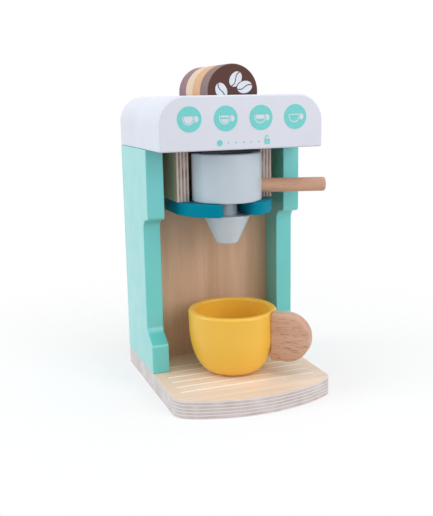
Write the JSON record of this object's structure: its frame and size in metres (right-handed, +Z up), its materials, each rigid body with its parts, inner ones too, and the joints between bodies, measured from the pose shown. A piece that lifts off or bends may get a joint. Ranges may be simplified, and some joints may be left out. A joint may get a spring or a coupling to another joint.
{
  "type": "toy coffee machine",
  "caption": "Wooden play coffee machine: a filter holder with a rod handle slides into a fork under a rounded head with printed buttons, coffee discs on top and a cup on the tray.",
  "frame": {"origin": "middle of the base board's underside, halfway along its depth", "axes": "+X to the machine's right as seen from the front, +Y to the rear, +Z up; the front faces -Y"},
  "size_m": [0.1522, 0.168, 0.278],
  "materials": {
    "ply_base": "clear satin lacquer",
    "ply_back": "clear satin lacquer",
    "ply_cheek": "clear satin lacquer",
    "mint_paint": "satin paint on wood",
    "white_paint": "satin paint on wood",
    "petrol_paint": "satin paint on wood",
    "grey_paint": "satin paint on wood",
    "beech": "clear satin lacquer",
    "yellow_paint": "satin paint on wood",
    "dark_brown_paint": "satin paint on wood",
    "tan_paint": "satin paint on wood",
    "cream_paint": "satin paint on wood",
    "mauve_paint": "satin paint on wood",
    "birch_dowel": "raw",
    "steel": "zinc plated",
    "turquoise_ink": "flat print",
    "white_ink": "flat print",
    "pale_ink": "flat print"
  },
  "bodies": {
    "machine": {"base_board": "ply_base", "left_side_board": "mint_paint", "right_side_board": "mint_paint", "back_board": "ply_back", "head_block": "white_paint", "left_cheek": "ply_cheek", "right_cheek": "ply_cheek", "fork_plate": "petrol_paint", "coffee_disc_front": "dark_brown_paint", "coffee_disc_second": "tan_paint", "coffee_disc_third": "cream_paint", "coffee_disc_rear": "mauve_paint", "cup_bowl": "yellow_paint", "cup_grip": "beech", "cup_grip_dowel": "birch_dowel", "side_dowels": "birch_dowel", "cheek_dowels": "birch_dowel", "base_screws": "steel", "fork_screws": "steel", "tray_lines": "white_ink", "button_prints": "turquoise_ink", "scale_print": "turquoise_ink", "bean_print": "pale_ink"},
    "spout": {"spout_neck": "grey_paint", "spout_cone": "grey_paint"},
    "filter": {"filter_bowl": "grey_paint", "filter_handle": "beech"}
  },
  "joints": [
    {"name": "filter_slide", "type": "slide", "parent": "machine", "child": "spout", "axis": [0, -1, 0], "range_m": [0, 0.08]},
    {"name": "filter_turn", "type": "hinge", "parent": "spout", "child": "filter", "pos_m": [0, -0.004, 0.17], "axis": [0, 0, 1], "range_deg": [-150, 8]}
  ]
}
